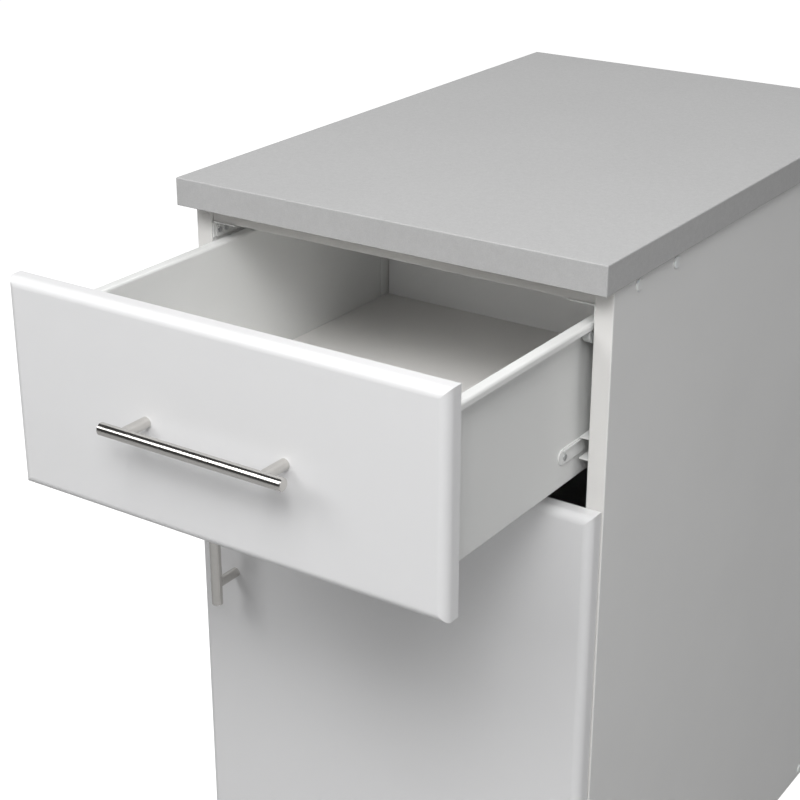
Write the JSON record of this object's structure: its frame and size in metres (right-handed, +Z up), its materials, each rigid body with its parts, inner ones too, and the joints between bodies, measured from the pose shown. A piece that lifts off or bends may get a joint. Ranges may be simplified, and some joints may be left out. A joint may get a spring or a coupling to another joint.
{
  "type": "kitchen base cabinet",
  "caption": "Floor-standing kitchen base cabinet with a grey worktop, a steel-sided drawer on roller runners above a hinged door, bar handles and adjustable feet.",
  "frame": {"origin": "on the floor below the middle of the object's bounding box, with the drawer pulled out as stored", "axes": "+Z up, +Y towards the back (wall) side, the fronts and handles face -Y, +X to the cabinet's right as seen from the front"},
  "size_m": [0.408, 0.835, 0.894],
  "materials": {
    "worktop_laminate": "fine-textured grey laminate on chipboard",
    "board_white": "white melamine-faced chipboard",
    "front_white": "satin white foil-wrapped board",
    "steel_white": "white powder coat",
    "steel_zinc": "zinc-plated, satin",
    "screw_steel": "zinc-plated",
    "handle_metal": "satin nickel plate",
    "plastic_white": "moulded, semi-gloss",
    "plastic_black": "moulded, matt",
    "rubber_clear": "clear soft bumper"
  },
  "bodies": {
    "carcass": {"worktop": "worktop_laminate", "side_panel_left": "board_white", "side_panel_right": "board_white", "base_panel": "board_white", "back_panel": "board_white", "top_rail_front": "board_white", "top_rail_rear": "board_white", "shelf": "board_white", "shelf_pins": "steel_zinc", "confirmat_screws": "screw_steel", "cover_caps": "plastic_white", "worktop_screws": "screw_steel", "rail_brackets": "steel_white", "rail_bracket_screws": "screw_steel", "leg_front_left": "plastic_black", "leg_front_right": "plastic_black", "leg_rear_left": "plastic_black", "leg_rear_right": "plastic_black", "plinth_panel": "board_white", "plinth_clips": "plastic_black", "runner_left": "steel_white", "runner_right": "steel_white", "runner_screws": "screw_steel", "front_roller_axles": "steel_zinc", "hinge_plates": "steel_zinc", "hinge_plate_screws": "screw_steel", "hinge_arm_upper": "steel_zinc", "hinge_arm_lower": "steel_zinc"},
    "drawer": {"drawer_front": "front_white", "drawer_side_left": "steel_white", "drawer_side_right": "steel_white", "drawer_bottom": "board_white", "drawer_back": "board_white", "drawer_back_brackets": "steel_white", "drawer_front_brackets": "steel_white", "drawer_screws": "screw_steel", "drawer_bumpers": "rubber_clear", "drawer_handle_bar": "handle_metal", "drawer_handle_posts": "handle_metal", "drawer_handle_screws": "screw_steel", "roller_arm_left": "steel_white", "roller_arm_right": "steel_white", "arm_rivets": "steel_zinc", "rear_roller_axles": "steel_zinc"},
    "front_roller_left": {"front_roller_left": "plastic_white"},
    "front_roller_right": {"front_roller_right": "plastic_white"},
    "rear_roller_left": {"rear_roller_left": "plastic_white"},
    "rear_roller_right": {"rear_roller_right": "plastic_white"},
    "door": {"door_panel": "front_white", "door_handle_bar": "handle_metal", "door_handle_posts": "handle_metal", "door_handle_screws": "screw_steel", "door_bumpers": "rubber_clear", "hinge_cup_upper": "steel_zinc", "hinge_cup_lower": "steel_zinc", "hinge_cup_screws": "screw_steel"},
    "foot_front_left": {"foot_front_left": "plastic_black"},
    "foot_front_right": {"foot_front_right": "plastic_black"},
    "foot_rear_left": {"foot_rear_left": "plastic_black"},
    "foot_rear_right": {"foot_rear_right": "plastic_black"}
  },
  "joints": [
    {"name": "drawer_slide", "type": "slide", "parent": "carcass", "child": "drawer", "axis": [0, -1, 0], "range_m": [-0.206, 0.134]},
    {"name": "door_hinge", "type": "hinge", "parent": "carcass", "child": "door", "pos_m": [0.196, -0.17, 0.4195], "axis": [0, 0, 1], "range_deg": [0, 95]},
    {"name": "front_roller_left_spin", "type": "hinge", "parent": "carcass", "child": "front_roller_left", "pos_m": [-0.176, -0.151, 0.828], "axis": [1, 0, 0], "range_deg": [-1389, 904]},
    {"name": "rear_roller_left_spin", "type": "hinge", "parent": "drawer", "child": "rear_roller_left", "pos_m": [-0.1779, 0.0775, 0.734], "axis": [1, 0, 0], "range_deg": [-1476, 960]},
    {"name": "front_roller_right_spin", "type": "hinge", "parent": "carcass", "child": "front_roller_right", "pos_m": [0.176, -0.151, 0.828], "axis": [1, 0, 0], "range_deg": [-1389, 904]},
    {"name": "rear_roller_right_spin", "type": "hinge", "parent": "drawer", "child": "rear_roller_right", "pos_m": [0.1779, 0.0775, 0.734], "axis": [1, 0, 0], "range_deg": [-1476, 960]},
    {"name": "foot_turn_front_left", "type": "hinge", "parent": "carcass", "child": "foot_front_left", "pos_m": [-0.15, -0.0725, 0.02], "axis": [0, 0, 1], "range_deg": [-180, 180]},
    {"name": "foot_turn_front_right", "type": "hinge", "parent": "carcass", "child": "foot_front_right", "pos_m": [0.15, -0.0725, 0.02], "axis": [0, 0, 1], "range_deg": [-180, 180]},
    {"name": "foot_turn_rear_left", "type": "hinge", "parent": "carcass", "child": "foot_rear_left", "pos_m": [-0.15, 0.3375, 0.02], "axis": [0, 0, 1], "range_deg": [-180, 180]},
    {"name": "foot_turn_rear_right", "type": "hinge", "parent": "carcass", "child": "foot_rear_right", "pos_m": [0.15, 0.3375, 0.02], "axis": [0, 0, 1], "range_deg": [-180, 180]}
  ],
  "couplings": [
    {"joint": "front_roller_left_spin", "follows": "drawer_slide", "rad_per_m": 117.65},
    {"joint": "rear_roller_left_spin", "follows": "drawer_slide", "rad_per_m": 125},
    {"joint": "front_roller_right_spin", "follows": "drawer_slide", "rad_per_m": 117.65},
    {"joint": "rear_roller_right_spin", "follows": "drawer_slide", "rad_per_m": 125}
  ]
}
